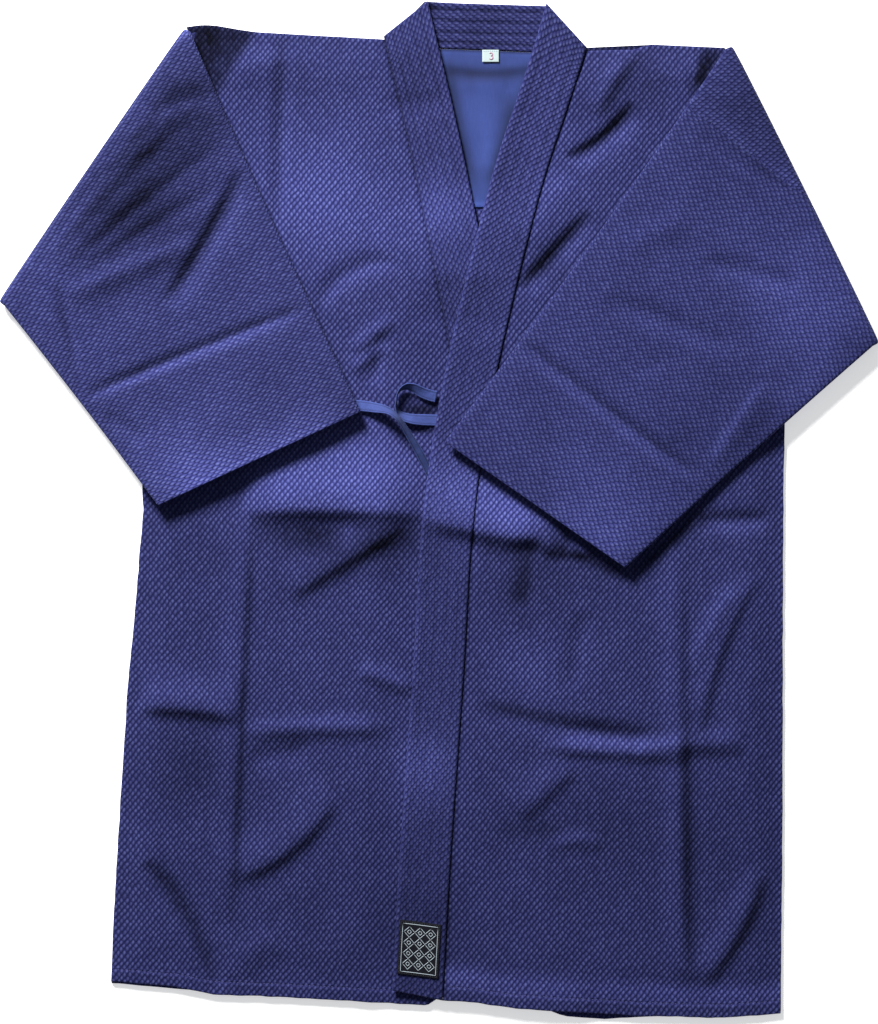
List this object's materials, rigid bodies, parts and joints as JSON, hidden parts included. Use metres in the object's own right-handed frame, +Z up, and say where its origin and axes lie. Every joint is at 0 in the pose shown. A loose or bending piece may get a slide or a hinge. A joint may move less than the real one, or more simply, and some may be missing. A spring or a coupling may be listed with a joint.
{
  "type": "kendo jacket",
  "caption": "Thick rice-weave cotton kendo jacket laid flat on its back, sleeves folded in over the crossed fronts, with band collar and tape ties.",
  "frame": {"origin": "on the surface that the jacket lies on, under the middle of its outline without the ties", "axes": "+X to the wearer's left, +Y from the hem to the neck, +Z up from the surface"},
  "size_m": [0.7902, 0.918, 0.0248],
  "materials": {
    "rice_weave": "matte thick woven cotton",
    "band_weave": "matte thick woven cotton",
    "lining_cotton": "smooth plain cotton",
    "cotton_tape": "smooth plain cotton",
    "white_tag": "satin woven tag",
    "woven_patch": "satin woven patch"
  },
  "bodies": {
    "root": {"back": "rice_weave", "front_right": "rice_weave", "front_left": "rice_weave", "sleeve_right": "rice_weave", "sleeve_left": "rice_weave", "collar_back": "band_weave", "collar_right": "band_weave", "collar_left": "band_weave", "yoke_lining": "lining_cotton", "tie_right": "cotton_tape", "tie_left": "cotton_tape", "size_tag": "white_tag", "hem_label": "woven_patch"}
  },
  "joints": []
}
